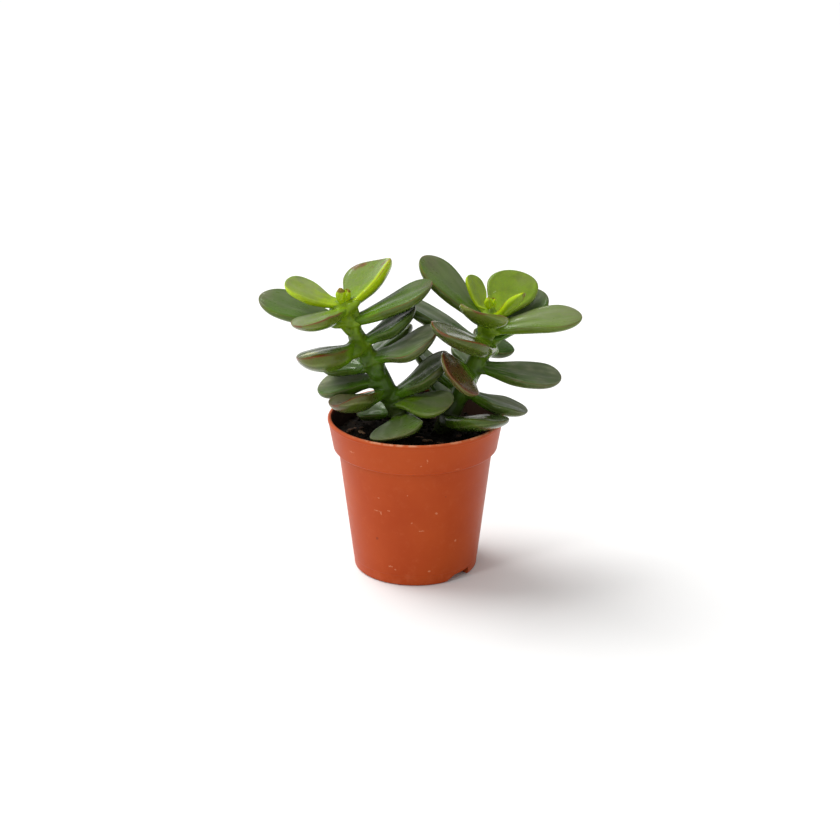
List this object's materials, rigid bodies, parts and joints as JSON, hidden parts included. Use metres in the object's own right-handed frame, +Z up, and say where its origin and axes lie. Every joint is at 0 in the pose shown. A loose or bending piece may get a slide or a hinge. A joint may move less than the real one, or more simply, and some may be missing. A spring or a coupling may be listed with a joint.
{
  "type": "potted jade plant",
  "caption": "Small jade plant with thick oval leaves on two leaning stems, growing in dark soil in a plain round plastic pot with a deep collar.",
  "frame": {"origin": "middle of the whole plant's footprint, on the surface that the pot stands on; the pot's axis is 1.5 mm to -X of it", "axes": "+Z up along the pot's axis, -Y towards the front, +X to the right seen from the front, along the widest spread of the leaves"},
  "size_m": [0.0998, 0.055, 0.0982],
  "materials": {
    "pot": "terracotta-coloured moulded plastic, matte with a soft sheen",
    "soil": "moist black potting compost with bark chips",
    "stem": "smooth green succulent stem, browner low down",
    "leaf": "thick waxy leaf, dark grey-green with red-brown margins",
    "young_leaf": "thin waxy new leaf, yellow-green and glossy"
  },
  "bodies": {
    "root": {"pot": "pot", "soil": "soil", "stem_left": "stem", "leaf_left_01": "young_leaf", "leaf_left_02": "young_leaf", "leaf_left_03": "leaf", "leaf_left_04": "leaf", "leaf_left_05": "leaf", "leaf_left_06": "leaf", "leaf_left_07": "leaf", "leaf_left_08": "leaf", "leaf_left_09": "leaf", "leaf_left_10": "leaf", "leaf_left_11": "leaf", "leaf_left_12": "leaf", "leaf_left_13": "leaf", "leaf_left_14": "leaf", "leaf_left_15": "leaf", "leaf_left_16": "leaf", "leaf_left_17": "leaf", "leaf_left_18": "leaf", "stem_right": "stem", "leaf_right_01": "young_leaf", "leaf_right_02": "young_leaf", "leaf_right_03": "young_leaf", "leaf_right_04": "leaf", "leaf_right_05": "leaf", "leaf_right_06": "leaf", "leaf_right_07": "leaf", "leaf_right_08": "leaf", "leaf_right_09": "leaf", "leaf_right_10": "leaf", "leaf_right_11": "leaf", "leaf_right_12": "leaf", "leaf_right_13": "leaf", "leaf_right_14": "leaf", "leaf_right_15": "leaf", "leaf_right_16": "leaf", "leaf_right_17": "leaf"}
  },
  "joints": []
}
